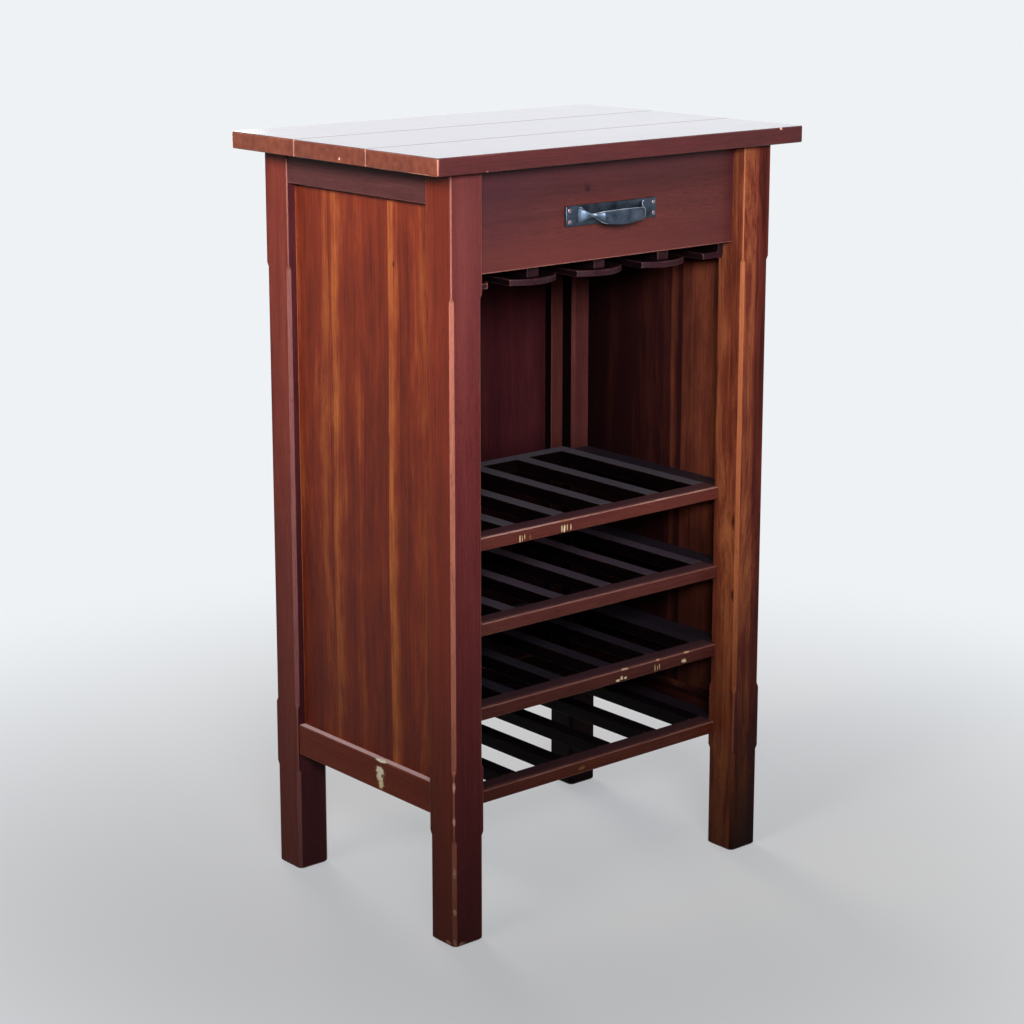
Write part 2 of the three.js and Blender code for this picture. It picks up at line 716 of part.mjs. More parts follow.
// Pull: a flat back plate and a bow whose broad grip narrows to two necks and flares into the plate.
// The grip hangs lower than the necks. The bow is its side profile and its face outline, each extruded,
// where they meet.
function buildPull(drawer) {
  const plate = board({
    x: [-plateLength / 2, plateLength / 2],
    y: [-plateThickness - fitGap, -fitGap],
    z: [pullCentreRise - plateHeight / 2, pullCentreRise + plateHeight / 2],
  }, plateEdgeEase);

  const profile = new THREE.Shape();
  profile.moveTo(-footReach, 0);
  profile.quadraticCurveTo(-(footRoot + neckReach) / 2, 0, -neckReach, neckStandOff);
  profile.quadraticCurveTo(-(neckReach + gripReach) / 2, gripEndStandOff, -gripReach, gripEndStandOff);
  profile.quadraticCurveTo(0, 2 * gripStandOff - gripEndStandOff, gripReach, gripEndStandOff);
  profile.quadraticCurveTo((neckReach + gripReach) / 2, gripEndStandOff, neckReach, neckStandOff);
  profile.quadraticCurveTo((footRoot + neckReach) / 2, 0, footReach, 0);
  profile.lineTo(footRoot - strapThickness, 0);
  profile.quadraticCurveTo(neckReach, 0, neckReach - strapThickness, neckStandOff - strapThickness);
  profile.lineTo(gripReach - strapThickness, gripEndStandOff - strapThickness);
  profile.quadraticCurveTo(
    0,
    2 * gripStandOff - gripEndStandOff - strapThickness,
    -gripReach + strapThickness,
    gripEndStandOff - strapThickness,
  );
  profile.lineTo(-neckReach + strapThickness, neckStandOff - strapThickness);
  profile.quadraticCurveTo(-neckReach, 0, -footRoot + strapThickness, 0);
  profile.closePath();
  const reach = Math.max(footHeight / 2, gripMiddleRise, gripMiddleDrop);
  const strap = extrusion(profile, 2 * reach).rotateX(Math.PI);
  strap.translate(0, -fitGap - plateEdgeEase, pullCentreRise + reach);

  const face = new THREE.Shape();
  face.moveTo(-footReach, -footHeight / 2);
  face.lineTo(-footRoot, -footHeight / 2);
  addHalfFace(face, 1, -1);
  face.quadraticCurveTo(0, gripEndDrop - 2 * gripMiddleDrop, gripReach, -gripEndDrop);
  addHalfFace(face, -1, -1);
  face.lineTo(footReach, -footHeight / 2);
  face.lineTo(footReach, footHeight / 2);
  face.lineTo(footRoot, footHeight / 2);
  addHalfFace(face, 1, 1);
  face.quadraticCurveTo(0, 2 * gripMiddleRise - gripEndRise, -gripReach, gripEndRise);
  addHalfFace(face, -1, 1);
  face.lineTo(-footReach, footHeight / 2);
  face.closePath();
  const depth = gripStandOff + cutOverrun;
  const outline = extrusion(face, depth).rotateX(Math.PI / 2).translate(0, 0, pullCentreRise);

  let pull = plate.add(solid(strap).intersect(solid(outline)));
  screwPlaces().forEach(([x, z]) => {
    pull = pull.subtract(screwHole(x, z));
  });
  const origin = new THREE.Vector3(0, 0, pullCentreRise);
  addPiece(drawer, "drawer_pull", pull, blackIron(), origin);

  screwPlaces().forEach(([x, z], index) => {
    const screw = screwShape();
    const place = new THREE.Vector3(x, -fitGap - plateThickness - fitGap, z);
    const placed = screw.translate([place.x, place.y, place.z]);
    addPiece(drawer, `pull_screw_${index + 1}`, placed, wornCopper(), place);
  });
}

// One quarter of the bow's face outline between foot and grip: outwards to inwards, or back out again.
// Going round the outline, `inward` is 1 when the path runs from a foot to the grip.
function addHalfFace(face, inward, edge) {
  const side = inward * edge;
  const foot = [side * footRoot, (edge * footHeight) / 2];
  const neck = [side * neckReach, (edge * neckHeight) / 2];
  const grip = [side * gripReach, edge > 0 ? gripEndRise : -gripEndDrop];
  if (inward > 0) {
    face.quadraticCurveTo(side * neckReach, neck[1], neck[0], neck[1]);
    face.lineTo(grip[0], grip[1]);
  } else {
    face.lineTo(neck[0], neck[1]);
    face.quadraticCurveTo(side * neckReach, neck[1], foot[0], foot[1]);
  }
}

// Screw with a domed head, its axis along Y and the seat of its head at zero
function screwShape() {
  const points = [
    new THREE.Vector2(0, -screwShankLength),
    new THREE.Vector2(screwShankRadius, -screwShankLength),
    new THREE.Vector2(screwShankRadius, 0),
    new THREE.Vector2(screwHeadRadius, 0),
  ];
  for (let i = 1; i < cornerSteps; i += 1) {
    const angle = (i / cornerSteps) * (Math.PI / 2);
    const radius = screwHeadRadius * Math.cos(angle);
    points.push(new THREE.Vector2(radius, screwHeadHeight * Math.sin(angle)));
  }
  points.push(new THREE.Vector2(0, screwHeadHeight));
  const screw = new THREE.LatheGeometry(points, roundSides);
  return solid(screw.rotateX(Math.PI));
}

const cabinet = new THREE.Group();

const top = new THREE.Group();
top.position.z = legHeight;
cabinet.add(top);
buildTop(top);

const shelfTops = [];
for (let i = 0; i < shelfCount; i += 1) {
  shelfTops.push(bottomRailClearance + bottomShelfRise + i * shelfPitch);
}

Object.entries({ left: 1, right: -1 }).forEach(([side, inwards]) => {
  const frame = new THREE.Group();
  frame.position.x = -inwards * frameHalf;
  frame.scale.x = inwards;
  cabinet.add(frame);
  buildSideFrame(frame, side);
  buildRunner(frame, side);
  shelfTops.forEach((height, index) => buildCleat(frame, index + 1, height, side));
});

buildBack(cabinet);
buildBearers(cabinet);
buildStemRack(cabinet);
shelfTops.forEach((height, index) => buildShelf(cabinet, index + 1, height));
buildDrawer(cabinet);

export default cabinet;
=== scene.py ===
import math

import bmesh
import bpy
from mathutils import Matrix, Vector


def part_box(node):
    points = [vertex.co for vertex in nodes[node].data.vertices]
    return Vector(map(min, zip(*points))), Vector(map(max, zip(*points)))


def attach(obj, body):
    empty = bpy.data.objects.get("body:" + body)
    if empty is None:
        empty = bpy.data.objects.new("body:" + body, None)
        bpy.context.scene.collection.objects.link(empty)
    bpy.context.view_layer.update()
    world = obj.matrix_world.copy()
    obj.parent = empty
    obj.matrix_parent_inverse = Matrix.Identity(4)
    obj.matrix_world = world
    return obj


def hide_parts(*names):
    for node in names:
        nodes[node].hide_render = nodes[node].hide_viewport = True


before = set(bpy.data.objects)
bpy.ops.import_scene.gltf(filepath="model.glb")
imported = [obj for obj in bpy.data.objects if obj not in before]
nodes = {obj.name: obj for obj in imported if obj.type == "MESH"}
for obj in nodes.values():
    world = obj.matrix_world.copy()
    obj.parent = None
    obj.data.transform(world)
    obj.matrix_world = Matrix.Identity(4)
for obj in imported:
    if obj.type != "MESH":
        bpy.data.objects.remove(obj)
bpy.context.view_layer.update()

# A free-standing wine cabinet in mahogany-stained solid wood, worn at its edges from years of use.
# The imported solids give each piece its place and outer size; the sections below follow the cabinet as
# it is put together, from the top down to the lowest shelf.
scene = bpy.context.scene
scene.view_settings.view_transform = "Standard"

# Camera. It stands at the front left, a little above the cabinet's top, where the corners of the top
# and the feet line up with the photograph. The upward shift leaves the floor room under the feet.
CAMERA_PLACE = (-1.8955, -2.2163, 1.1974)
CAMERA_AZIMUTH = math.radians(-40.34)
CAMERA_TILT = math.radians(12.57)
camera_data = bpy.data.cameras.new("camera")
camera_data.sensor_width = 36.0
camera_data.lens = 86.2
camera_data.shift_y = -0.080
camera = bpy.data.objects.new("camera", camera_data)
camera.location = CAMERA_PLACE
camera.rotation_euler = (math.pi / 2 - CAMERA_TILT, 0.0, CAMERA_AZIMUTH)
scene.collection.objects.link(camera)
scene.camera = camera


def srgb(hex_colour):
    """Linear colour of an sRGB hex value."""
    parts = [int(hex_colour[i:i + 2], 16) / 255 for i in (1, 3, 5)]
    return [c / 12.92 if c <= 0.04045 else ((c + 0.055) / 1.055) ** 2.4 for c in parts] + [1.0]


def add(tree, kind, inputs=None, **settings):
    """Adds a node with its settings; each input is a value or another node's output."""
    node = tree.nodes.new("ShaderNode" + kind)
    for name, value in settings.items():
        setattr(node, name, value)
    for socket, value in (inputs or {}).items():
        if isinstance(value, bpy.types.NodeSocket):
            tree.links.new(value, node.inputs[socket])
        else:
            node.inputs[socket].default_value = value
    return node


# Studio. A wide pale floor and surround, which the camera and reflections see at full strength but
# which throw little light on the cabinet. Gridded soft lamps stand high at the front and the left, so
# that light falls off towards the feet; two weaker ones behind give the back light and the top sheen.
BACKDROP = "#eff2f5"
FLOOR_RADIUS = 14.0
FLOOR_LIT_RADIUS = 0.3
FLOOR_FADED_RADIUS = 1.4
FLOOR_GLOW = 0.42
FLOOR_SEEN = "#f2f2f3"
FLOOR_THROWN = "#4c4b4a"
floor_shape = bmesh.new()
bmesh.ops.create_circle(floor_shape, cap_ends=True, segments=96, radius=FLOOR_RADIUS)
floor_mesh = bpy.data.meshes.new("floor")
floor_shape.to_mesh(floor_mesh)
floor_shape.free()
floor = bpy.data.objects.new("floor", floor_mesh)
scene.collection.objects.link(floor)


def seen_by(tree, *rays):
    """1 for the kinds of ray that are named, 0 for all others."""
    path = add(tree, "LightPath")
    total = path.outputs[f"Is {rays[0]} Ray"]
    for ray in rays[1:]:
        total = add(tree, "Math", {0: total, 1: path.outputs[f"Is {ray} Ray"]},
                    operation="MAXIMUM").outputs[0]
    return total


floor_paint = bpy.data.materials.new("pale_studio_floor")
floor_paint.use_nodes = True
paint = floor_paint.node_tree
paint.nodes.clear()
seen_pale = seen_by(paint, "Camera", "Glossy")
floor_tone = add(paint, "MixRGB", {0: seen_pale, 1: srgb(FLOOR_THROWN), 2: srgb(FLOOR_SEEN)})
lit = add(paint, "BsdfDiffuse", {"Color": floor_tone.outputs[0]}).outputs[0]
far = add(paint, "Emission", {"Color": srgb(BACKDROP), "Strength": 1.0}).outputs[0]
spot = add(paint, "VectorMath", {0: add(paint, "NewGeometry").outputs["Position"]},
           operation="LENGTH").outputs["Value"]
fade = add(paint, "MapRange", {0: spot, 1: FLOOR_LIT_RADIUS, 2: FLOOR_FADED_RADIUS, 3: FLOOR_GLOW},
           interpolation_type="SMOOTHSTEP").outputs[0]
fade = add(paint, "Math", {0: fade, 1: seen_pale}, operation="MULTIPLY").outputs[0]
floor_mix = add(paint, "MixShader", {0: fade, 1: lit, 2: far}).outputs[0]
add(paint, "OutputMaterial", {"Surface": floor_mix})
floor_mesh.materials.append(floor_paint)

world = bpy.data.worlds.new("studio")
world.use_nodes = True
scene.world = world
surround = world.node_tree
surround.nodes.clear()
seen_pale = seen_by(surround, "Camera", "Glossy", "Transmission")
soft_light = add(surround, "Background", {"Color": srgb("#eef3fa"), "Strength": 0.1}).outputs[0]
backdrop = add(surround, "Background", {"Color": srgb(BACKDROP), "Strength": 1.0}).outputs[0]
both = add(surround, "MixShader", {0: seen_pale, 1: soft_light, 2: backdrop})
add(surround, "OutputWorld", {"Surface": both.outputs[0]})


def softbox(name, place, aim, size, watts, tint, grid=180):
    """Rectangular studio lamp that faces a point, with a grid that narrows its beam. The camera
    doesn't see it."""
    data = bpy.data.lights.new(name, "AREA")
    data.shape = "RECTANGLE"
    data.size, data.size_y = size
    data.energy = watts
    data.color = srgb(tint)[:3]
    data.spread = math.radians(grid)
    lamp = bpy.data.objects.new(name, data)
    lamp.location = place
    lamp.rotation_euler = (Vector(aim) - Vector(place)).to_track_quat("-Z", "Y").to_euler()
    lamp.visible_camera = False
    scene.collection.objects.link(lamp)


softbox("high_front", (-1.45, -2.15, 1.5), (-0.05, 0, 1.03), (1.2, 0.5), 10.2, "#f6f8ff", 46)
softbox("high_left", (-1.8, -0.1, 1.75), (0, 0, 1.17), (1.3, 0.7), 8.2, "#fff3e2", 62)
softbox("low_back", (2.4, 2.8, 1.45), (0, 0, 0.8), (2.4, 1.2), 6, "#e9f3ff")
softbox("behind", (0.75, 2.6, 0.75), (0.1, 0, 0.6), (1.1, 0.9), 6, "#fff8f0", 60)


# Top. Three boards of the same stock, glued edge to edge, with a fine V planed along each joint that
# runs down the ends too. The outer corners are rounded, all arrises eased, and the lacquer is thick
# enough to mirror the room. The stain comes first, because all the mahogany below shares it.
def grain_noise(tree, vector, long_mm, wide_mm, detail=2.0, roughness=0.5):
    """Noise drawn out along the grain, which runs along the vector's x."""
    share = (1000 / long_mm, 1000 / wide_mm, 1000 / wide_mm)
    drawn = add(tree, "VectorMath", {0: vector, 1: share}, operation="MULTIPLY")
    noise = add(tree, "TexNoise", {"Vector": drawn.outputs[0], "Scale": 1.0, "Detail": detail,
                                   "Roughness": roughness})
    return noise.outputs[0]


def between(tree, value, low, high, low_gives=0.0, high_gives=1.0):
    """The value's place between low and high, clamped, as a number."""
    node = add(tree, "MapRange", {0: value, 1: low, 2: high, 3: low_gives, 4: high_gives})
    return node.outputs[0]


def sum_of(tree, *shares, start=0.0):
    """Weighted sum of outputs, each given as (output, weight), on top of a start."""
    total = start
    for value, weight in shares:
        total = add(tree, "Math", {0: value, 1: weight, 2: total},
                    operation="MULTIPLY_ADD").outputs[0]
    return total


def mixed(tree, share, first, second, blend="MIX"):
    """Colour between two colours."""
    node = add(tree, "MixRGB", {0: share, 1: first, 2: second}, blend_type=blend)
    return node.outputs[0]


ARRIS_REACH = 0.0028


def arris(tree, flat):
    """1 on an outer arris, where hands and cloths rub, falling to 0 a few millimetres from it."""
    openness = add(tree, "AmbientOcclusion", {"Distance": ARRIS_REACH}, inside=True, only_local=True,
                   samples=6).outputs["AO"]
    return between(tree, openness, flat, 0.5)


def new_material(name):
    """An empty material, its tree and shader, and the place on the piece, which patterns follow."""
    material = bpy.data.materials.new(name)
    material.use_nodes = True
    tree = material.node_tree
    return material, tree, tree.nodes["Principled BSDF"], add(tree, "TexCoord").outputs["Object"]


GRAIN_TURNS = {"X": (0, 0, 0), "Y": (0, 0, -math.pi / 2), "Z": (0, math.pi / 2, 0)}
MIDDLE_TONE = 0.48
RAGGEDNESS = 1.6
board_count = 0


def marked(tree, colour, place, marks):
    """Lays small ragged marks on a colour. Each has its middle and half lengths in mm, its colour, and
    how softly it ends; a soft one only tints. The second output is where the marks are."""
    outline = grain_noise(tree, place, 3.5, 3.5, 3.0, 0.65)
    dents = None
    for middle, reach, hex_colour, softness in marks:
        away = add(tree, "VectorMath", {0: place, 1: Vector(middle) / 1000},
                   operation="SUBTRACT").outputs[0]
        away = add(tree, "VectorMath", {0: away, 1: [1000 / r for r in reach]},
                   operation="MULTIPLY").outputs[0]
        away = add(tree, "VectorMath", {0: away}, operation="LENGTH").outputs["Value"]
        away = sum_of(tree, (away, 1.0), (outline, RAGGEDNESS))
        rim = 1 + RAGGEDNESS / 2
        inside = between(tree, away, rim + softness / 2, rim - softness / 2, 0.0,
                         min(1.0, 1.3 - softness / 2))
        colour = mixed(tree, inside, colour, srgb(hex_colour))
        dents = inside if dents is None else add(tree, "Math", {0: dents, 1: inside},
                                                 operation="MAXIMUM").outputs[0]
    return colour, dents


def stained_mahogany(name, along, tones, wear=0.6, worn="#c4805c", figure=0.5, sway=34, shine=0.07,
                     coat=0.0, stripes=(), marks=(), dust_and_sheen=None, shades=(), curl=0.2):
    """Mahogany, wiped with a red-brown stain and sprayed with satin lacquer: ribbon figure 26 mm wide,
    streaks of 3 mm, short dark pores, and arrises rubbed through to the salmon-pink wood.
    Stripes are sapwood, darker wood or painted light along a board's edge: axis, edge, width, strength.
    Shades are painted shade, darkening towards one level of an axis: axis, darkest level, end,
    strength.
    Marks are dents, knots and soft tints, some of them painted light and shade. The colour laid on
    upper faces is dust, and on the slats painted sheen as well: colour, strength."""
    global board_count
    board_count += 1
    material, tree, shader, place = new_material(name)
    moved = (board_count * 0.731, board_count * 0.377, board_count * 0.219)
    grain = add(tree, "Mapping", {"Vector": place, "Location": moved,
                                  "Rotation": GRAIN_TURNS[along]}).outputs[0]
    drift = grain_noise(tree, grain, 420, 70, 1.0)
    bent = add(tree, "VectorMath", {0: drift, 1: (0.0, sway / 1000, sway / 1000), 2: grain},
               operation="MULTIPLY_ADD").outputs[0]

    # real pores are 0.2 mm wide and fibres finer still; both are drawn coarser so that they show
    ribbon = between(tree, grain_noise(tree, bent, 1400, 26, 1.0), 0.34, 0.68)
    streak = between(tree, grain_noise(tree, bent, 240, 3.4, 4.0, 0.62), 0.3, 0.72)
    mottle = between(tree, grain_noise(tree, bent, 60, 17, 2.0), 0.3, 0.7)
    fibre = grain_noise(tree, bent, 34, 0.8, 2.0)
    pore = between(tree, grain_noise(tree, bent, 9, 0.55, 0.0), 0.66, 0.72)
    waves = ((ribbon, 0.42 * figure), (streak, 0.36 * figure), (mottle, curl * figure))
    # the start leaves room for their mean, so that a stronger figure doesn't shift the colour
    tone = sum_of(tree, *waves, start=MIDDLE_TONE - sum(weight for _, weight in waves) / 2)
    for axis, edge, width, strength in stripes:
        across = add(tree, "SeparateXYZ", {0: place}).outputs[axis]
        across = sum_of(tree, (drift, 0.012), (across, 1.0))
        starts = between(tree, across, edge, edge + 0.0015, strength, 0.0)
        ends = between(tree, across, edge - width, edge - width / 3)
        lively = between(tree, sum_of(tree, (mottle, 0.5), (streak, 0.5)), 0.2, 0.8, 0.7, 1.2)
        starts = add(tree, "Math", {0: starts, 1: lively}, operation="MULTIPLY").outputs[0]
        tone = add(tree, "Math", {0: starts, 1: ends, 2: tone}, operation="MULTIPLY_ADD").outputs[0]
    ramp = add(tree, "ValToRGB", {0: tone})
    ramp.color_ramp.elements[0].position = 0.12
    ramp.color_ramp.elements[0].color = srgb(tones[0])
    ramp.color_ramp.elements[1].position = 0.88
    ramp.color_ramp.elements[1].color = srgb(tones[2])
    middle = ramp.color_ramp.elements.new(MIDDLE_TONE)
    middle.color = srgb(tones[1])
    colour = mixed(tree, 1.0, ramp.outputs[0],
                   mixed(tree, between(tree, fibre, 0.3, 0.7), srgb("#ddd6d2"), srgb("#fffcfa")),
                   "MULTIPLY")
    colour = mixed(tree, sum_of(tree, (pore, 0.35)), colour, srgb("#1e0b08"))
    # painted shade: the colour darkens towards a given level along an axis
    for axis, darkest, ends, share in shades:
        level = add(tree, "SeparateXYZ", {0: place}).outputs[axis]
        colour = mixed(tree, between(tree, level, darkest, ends, share, 0.0), colour,
                       srgb("#0e0406"))

    # dust on upper faces; on the slats it also stands in for painted sheen
    if dust_and_sheen:
        dust_and_sheen_colour, strength = dust_and_sheen
        normal = add(tree, "NewGeometry").outputs["Normal"]
        upward = add(tree, "SeparateXYZ", {0: normal}).outputs["Z"]
        colour = mixed(tree, between(tree, upward, 0.6, 0.95, 0.0, strength), colour,
                       srgb(dust_and_sheen_colour))

    patches = grain_noise(tree, place, 55, 55, 1.0)
    flecks = grain_noise(tree, place, 3.2, 3.2, 2.0)
    rubbed = sum_of(tree, (arris(tree, 0.92), 1.25), (patches, 0.9), (flecks, 0.45))
    rubbed = between(tree, rubbed, 2.05 - wear, 2.5 - wear, 0.0, 0.85)
    bare = mixed(tree, streak, srgb(worn), srgb("#9c5638"))
    colour = mixed(tree, rubbed, colour, bare)
    relief = sum_of(tree, (streak, 0.5), (fibre, 0.4), (pore, -0.8))
    if marks:
        colour, dents = marked(tree, colour, place, marks)
        relief = sum_of(tree, (dents, -3.0), (relief, 1.0))
    tree.links.new(colour, shader.inputs["Base Color"])

    gloss = sum_of(tree, (streak, 0.08), (mottle, 0.06), (rubbed, 0.12), start=0.34)
    tree.links.new(gloss, shader.inputs["Roughness"])
    shader.inputs["Specular IOR Level"].default_value = shine
    shader.inputs["Coat Weight"].default_value = coat
    shader.inputs["Coat Roughness"].default_value = 0.2
    bump = add(tree, "Bump", {"Height": relief, "Strength": 0.25, "Distance": 0.0003})
    tree.links.new(bump.outputs[0], shader.inputs["Normal"])
    return material


def joined(name, shape, materials, body, stood_for):
    """Turns a finished bmesh into a piece that stands for its solids and rides on their body."""
    mesh = bpy.data.meshes.new(name)
    shape.to_mesh(mesh)
    shape.free()
    for material in materials:
        mesh.materials.append(material)
    piece = bpy.data.objects.new(name, mesh)
    scene.collection.objects.link(piece)
    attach(piece, body)
    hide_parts(*stood_for)


def round_edges(shape, edges, radius, segments=2):
    """Rounds arrises; only the rounded strips are shaded smooth."""
    made = bmesh.ops.bevel(shape, geom=edges, offset=radius, offset_type="OFFSET", segments=segments,
                           profile=0.5, affect="EDGES", clamp_overlap=True, material=-1)
    for face in made["faces"]:
        face.smooth = True
    return made["faces"]


def block(shape, low, high):
    """Adds a squared block to a bmesh and gives its corners."""
    low, high = Vector(low), Vector(high)
    size = Matrix.Diagonal((*(high - low), 1.0))
    return bmesh.ops.create_cube(shape, size=1.0,
                                 matrix=Matrix.Translation((low + high) / 2) @ size)["verts"]


TOP_CORNER = 0.004
TOP_EASE = 0.0016
TOP_JOINT_EASE = 0.0008
FRONT_LEFT_CORNER = Vector((-0.707, -0.707))
TOP_TONES = {"top_board_front": ("#43211f", "#59292a", "#6c3634"),
             "top_board_middle": ("#3e1d1c", "#542727", "#683330"),
             "top_board_rear": ("#44201e", "#5c2b2a", "#703936")}
# middle and half lengths in mm, colour, softness
TOP_NICKS = (((242, -193.8, 912.6), (2.6, 2.0, 1.4), "#dcb79c", 0.4),
             ((-281, -19, 899), (1.6, 1.2, 1.4), "#d9b79c", 0.5),
             ((-213, -194, 895), (1.6, 1.5, 0.8), "#8f5b50", 0.6),
             ((-280.8, -193.8, 904), (1.3, 1.3, 6.5), "#cf987f", 0.6),
             ((-281, -165, 894.3), (2, 26, 0.8), "#c68e74", 0.6),
             ((-281, -100, 894.3), (2, 22, 0.6), "#b67c62", 0.6))


def end_grain(name, marks):
    """Sawn and sanded end of a mahogany board under the same stain: open pores as dark dots and
    curved growth bands, redder and lighter than the face."""
    material, tree, shader, place = new_material(name)
    band = between(tree, grain_noise(tree, place, 40, 9, 2.0), 0.3, 0.7)
    cloud = between(tree, grain_noise(tree, place, 90, 90, 1.0), 0.35, 0.65)
    # the pores' ends, drawn four times as wide as real ones so that they show
    dot = between(tree, grain_noise(tree, place, 0.9, 0.9, 1.0), 0.6, 0.68)
    tone = sum_of(tree, (band, 0.55), (cloud, 0.45))
    colour = mixed(tree, tone, srgb("#50231a"), srgb("#79402c"))
    colour = mixed(tree, sum_of(tree, (dot, 0.4)), colour, srgb("#35140f"))
    patches = grain_noise(tree, place, 60, 60, 1.0)
    rubbed = sum_of(tree, (arris(tree, 0.9), 1.2), (patches, 1.0))
    colour = mixed(tree, between(tree, rubbed, 1.15, 1.6, 0.0, 0.8), colour, srgb("#cf937a"))
    colour, _ = marked(tree, colour, place, marks)
    tree.links.new(colour, shader.inputs["Base Color"])
    tree.links.new(between(tree, cloud, 0, 1, 0.4, 0.5), shader.inputs["Roughness"])
    shader.inputs["Specular IOR Level"].default_value = 0.2
    bump = add(tree, "Bump", {"Height": dot, "Strength": 0.2, "Distance": -0.0003})
    tree.links.new(bump.outputs[0], shader.inputs["Normal"])
    return material


slab_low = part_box("top_board_front")[0]
slab_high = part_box("top_board_rear")[1]
LACQUERED, END, EDGE, RUBBED = range(4)
for name, tones in TOP_TONES.items():
    # each board is cut from the whole finished slab, so that the three meet exactly
    board_low, board_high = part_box(name)
    slab = bmesh.new()
    block(slab, slab_low, slab_high)
    uprights = [e for e in slab.edges if abs(e.verts[0].co.z - e.verts[1].co.z) > 0.01]
    round_edges(slab, uprights, TOP_CORNER, 5)
    rims = [e for e in slab.edges if abs(e.verts[0].co.z - e.verts[1].co.z) < 1e-6
            and e.calc_face_angle() > 1.0]
    round_edges(slab, rims, TOP_EASE, 3)
    joint_edges = []
    for cut, side in ((board_low.y, -1), (board_high.y, 1)):
        if min(abs(cut - slab_low.y), abs(cut - slab_high.y)) < 1e-5:
            continue
        made = bmesh.ops.bisect_plane(slab, geom=slab.verts[:] + slab.edges[:] + slab.faces[:],
                                      plane_co=(0, cut, 0), plane_no=(0, side, 0), clear_outer=True)
        rim = [g for g in made["geom_cut"] if isinstance(g, bmesh.types.BMEdge)]
        bmesh.ops.contextual_create(slab, geom=rim)
        joint_edges += rim
    bmesh.ops.recalc_face_normals(slab, faces=slab.faces)
    for face in slab.faces:
        face.normal_update()
        face.material_index = EDGE
        if face.normal.z > 0.4:
            face.material_index = LACQUERED
        elif abs(face.normal.x) > 0.75:
            face.material_index = END
        if face.normal.xy.dot(FRONT_LEFT_CORNER) > 0.98:
            face.material_index = RUBBED
    for face in round_edges(slab, joint_edges, TOP_JOINT_EASE, 2):
        face.normal_update()
        face.material_index = RUBBED if abs(face.normal.x) > 0.4 else EDGE
    bmesh.ops.recalc_face_normals(slab, faces=slab.faces)
    wood = stained_mahogany("lacquered_mahogany_" + name, "X", tones, wear=0.55, worn="#c98e78",
                            coat=1.0, figure=0.7, marks=TOP_NICKS)
    edge = stained_mahogany("stained_edge_" + name, "X", tones, wear=0.6, worn="#b27a66", shine=0.14,
                            marks=TOP_NICKS)
    joint = stained_mahogany("rubbed_joint_" + name, "X", ("#a3685a", "#c08676", "#d39c8c"),
                             wear=0.4, worn="#d3a390", figure=0.4)
    end = end_grain("mahogany_end_grain_" + name, TOP_NICKS)
    joined(name + "_board", slab, [wood, end, edge, joint], "cabinet", [name])


# Legs. Square mahogany posts. Each has its corners planed off in stopped chamfers, one between the
# drawer and the bottom rail and one from below that rail to the foot, and there the stain is rubbed
# thin. The feet are bevelled so that they don't splinter.
# heights at which a post's section changes, and the stretches that stay square
LEG_LEVELS_MM = (2.5, 128, 133, 210, 215, 753, 758)
LEG_SQUARE_MM = ((132, 211), (757, 900))
LEG_CHAMFER = 0.004
LEG_ARRIS = 0.0012
LEG_SOFTENING = 0.0004
FOOT_BEVEL = 0.0025
# the first mark is a painted sheen on the upper front face; the others are nicks at the foot and arris
FRONT_LEFT_NICKS_AND_SHEEN = (((-225, -173.5, 850), (30, 3, 130), "#784540", 1.9),
                    ((-247, -173.4, 7), (2.6, 2.6, 5), "#dba890", 0.5),
                    ((-236, -173.4, 4), (4, 2.6, 1.6), "#c98f78", 0.6),
                    ((-247, -162, 5), (2.6, 5, 1.8), "#c98f78", 0.6),
                    ((-246, -172.5, 44), (2.2, 2.2, 4), "#d09a84", 0.6),
                    ((-246, -172.5, 92), (2.0, 2.0, 7), "#c98f78", 0.7),
                    ((-246.6, -173, 155), (1.6, 1.6, 5), "#dba890", 0.5),
                    ((-246.6, -173, 196), (1.6, 1.6, 6), "#dba890", 0.5))
FRONT_RIGHT_KNOTS = (((203, -168, 337), (5, 3, 7), "#200b08", 0.9),
                     ((203, -166, 430), (4, 2.5, 9), "#35130b", 0.9),
                     ((202, -173, 731), (5, 4, 6), "#3a1610", 0.9))
FRONT_RIGHT_STRIPES = (("X", 0.233, 0.045, 0.2), ("X", 0.2495, 0.015, -0.14))
# painted shade: darker in the bays low down
LOW_BAYS = ("Z", 0.42, 0.50, 0.92)
